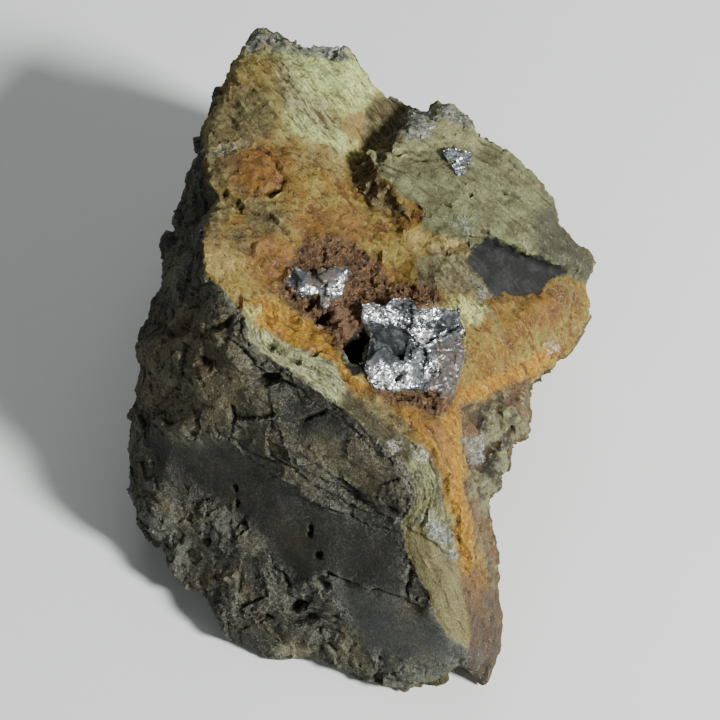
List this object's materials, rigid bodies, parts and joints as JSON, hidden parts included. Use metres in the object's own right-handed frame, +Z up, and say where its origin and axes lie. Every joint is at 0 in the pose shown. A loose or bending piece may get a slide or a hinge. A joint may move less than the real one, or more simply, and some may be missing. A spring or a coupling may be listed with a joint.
{
  "type": "mineral specimen",
  "caption": "Broken hand specimen of dark slate with an iron-stained ochre vein that holds bright grey metallic galena; rests on its flat underside.",
  "frame": {"origin": "a point of the flat underside, below the middle of the specimen", "axes": "+Z up from the rest plane, -Y towards the viewer of the picture, +X to the viewer's right"},
  "size_m": [0.0781, 0.11, 0.054],
  "materials": {
    "matrix": "matt broken slate and iron-stained vein",
    "galena": "bright metallic cleavage faces"
  },
  "bodies": {
    "root": {"matrix": "matrix", "galena_mass": "galena", "galena_patch": "galena", "galena_grains": "galena"}
  },
  "joints": []
}
